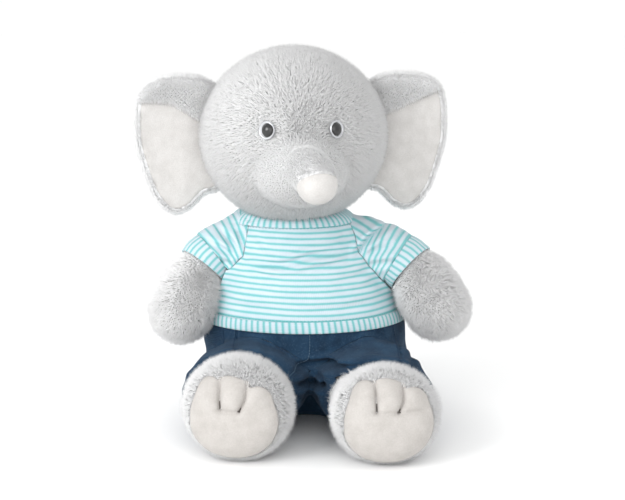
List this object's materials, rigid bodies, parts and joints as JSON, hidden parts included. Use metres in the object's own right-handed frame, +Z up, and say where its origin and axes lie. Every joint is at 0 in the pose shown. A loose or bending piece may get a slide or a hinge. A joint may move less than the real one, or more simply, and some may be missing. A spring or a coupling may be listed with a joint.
{
  "type": "stuffed elephant",
  "caption": "Seated plush elephant with a soft trunk, floppy lined ears, padded feet with stitched toes, a striped knit shirt and denim shorts.",
  "frame": {"origin": "on the flat underside of the seat, below the middle of the body", "axes": "+Z up along the sitting height, the face looks along -Y, +X is the toy's left"},
  "size_m": [0.2436, 0.2242, 0.276],
  "materials": {
    "grey_plush": "matte",
    "white_velour": "matte",
    "stuffing": "matte",
    "striped_knit": "matte",
    "rib_knit": "matte",
    "denim": "matte",
    "closure_tape": "matte",
    "elastic": "matte",
    "canvas": "matte",
    "thread": "matte",
    "eye_gloss": "gloss",
    "washer": "matte"
  },
  "bodies": {
    "torso": {"torso_skin": "grey_plush", "torso_stuffing": "stuffing", "seat_pellet_pouch": "canvas", "shirt_front": "striped_knit", "shirt_back_left": "striped_knit", "shirt_back_right": "striped_knit", "closure_hook_tape": "closure_tape", "closure_loop_tape": "closure_tape", "shirt_collar": "rib_knit", "shirt_hem_band": "rib_knit", "shorts_front": "denim", "shorts_back": "denim", "shorts_waistband": "denim", "waist_elastic": "elastic"},
    "neck": {"neck_stuffing": "stuffing"},
    "head": {"head_gusset": "grey_plush", "head_side_right": "grey_plush", "head_side_left": "grey_plush", "head_stuffing": "stuffing", "muzzle_skin": "grey_plush", "muzzle_stuffing": "stuffing", "eye_left": "eye_gloss", "eye_right": "eye_gloss", "eye_washer_left": "washer", "eye_washer_right": "washer"},
    "trunk": {"trunk_skin": "grey_plush", "trunk_tip": "white_velour", "trunk_stuffing": "stuffing"},
    "tail": {"tail_cord": "grey_plush", "tail_tuft": "grey_plush"},
    "ear_left": {"ear_back_left": "grey_plush", "ear_lining_left": "white_velour", "ear_wadding_left": "stuffing"},
    "arm_left": {"arm_skin_left": "grey_plush", "arm_stuffing_left": "stuffing", "sleeve_left": "striped_knit", "sleeve_cuff_left": "rib_knit"},
    "leg_left": {"leg_skin_left": "grey_plush", "leg_stuffing_left": "stuffing", "sole_pad_left": "white_velour", "toe_thread_left_inner": "thread", "toe_thread_left_outer": "thread", "shorts_leg_left": "denim"},
    "ear_right": {"ear_back_right": "grey_plush", "ear_lining_right": "white_velour", "ear_wadding_right": "stuffing"},
    "arm_right": {"arm_skin_right": "grey_plush", "arm_stuffing_right": "stuffing", "sleeve_right": "striped_knit", "sleeve_cuff_right": "rib_knit"},
    "leg_right": {"leg_skin_right": "grey_plush", "leg_stuffing_right": "stuffing", "sole_pad_right": "white_velour", "toe_thread_right_inner": "thread", "toe_thread_right_outer": "thread", "shorts_leg_right": "denim"}
  },
  "joints": [
    {"name": "head_turn", "type": "hinge", "parent": "torso", "child": "neck", "pos_m": [-0.015, -0.004, 0.16], "axis": [0, 0, 1], "range_deg": [-15, 15], "stiffness_Nm_per_rad": 1.2},
    {"name": "head_nod", "type": "hinge", "parent": "neck", "child": "head", "pos_m": [-0.015, -0.004, 0.16], "axis": [1, 0, 0], "range_deg": [-8, 8], "stiffness_Nm_per_rad": 3},
    {"name": "trunk_bend", "type": "hinge", "parent": "head", "child": "trunk", "pos_m": [-0.0062, -0.07352, 0.199], "axis": [0.9925, 0.1219, 0], "range_deg": [-10, 10], "stiffness_Nm_per_rad": 0.12},
    {"name": "ear_left_flap", "type": "hinge", "parent": "head", "child": "ear_left", "pos_m": [0.05029, 0.00797, 0.214], "axis": [0, 0, -1], "range_deg": [-10, 20], "stiffness_Nm_per_rad": 0.08},
    {"name": "ear_right_flap", "type": "hinge", "parent": "head", "child": "ear_right", "pos_m": [-0.08073, -0.00812, 0.214], "axis": [0, 0, 1], "range_deg": [-10, 20], "stiffness_Nm_per_rad": 0.08},
    {"name": "arm_left_swing", "type": "hinge", "parent": "torso", "child": "arm_left", "pos_m": [0.039, -0.002, 0.13], "axis": [-1, 0, 0], "range_deg": [-10, 35], "stiffness_Nm_per_rad": 0.4},
    {"name": "arm_right_swing", "type": "hinge", "parent": "torso", "child": "arm_right", "pos_m": [-0.049, -0.002, 0.133], "axis": [-1, 0, 0], "range_deg": [-10, 35], "stiffness_Nm_per_rad": 0.4},
    {"name": "leg_left_raise", "type": "hinge", "parent": "torso", "child": "leg_left", "pos_m": [0.04, -0.032, 0.032], "axis": [-1, 0, 0], "range_deg": [0, 15], "stiffness_Nm_per_rad": 0.8},
    {"name": "leg_right_raise", "type": "hinge", "parent": "torso", "child": "leg_right", "pos_m": [-0.04, -0.032, 0.032], "axis": [-1, 0, 0], "range_deg": [0, 15], "stiffness_Nm_per_rad": 0.8},
    {"name": "tail_wag", "type": "hinge", "parent": "torso", "child": "tail", "pos_m": [-0.003, 0.051, 0.031], "axis": [0, 0, 1], "range_deg": [-20, 20], "stiffness_Nm_per_rad": 0.02}
  ]
}
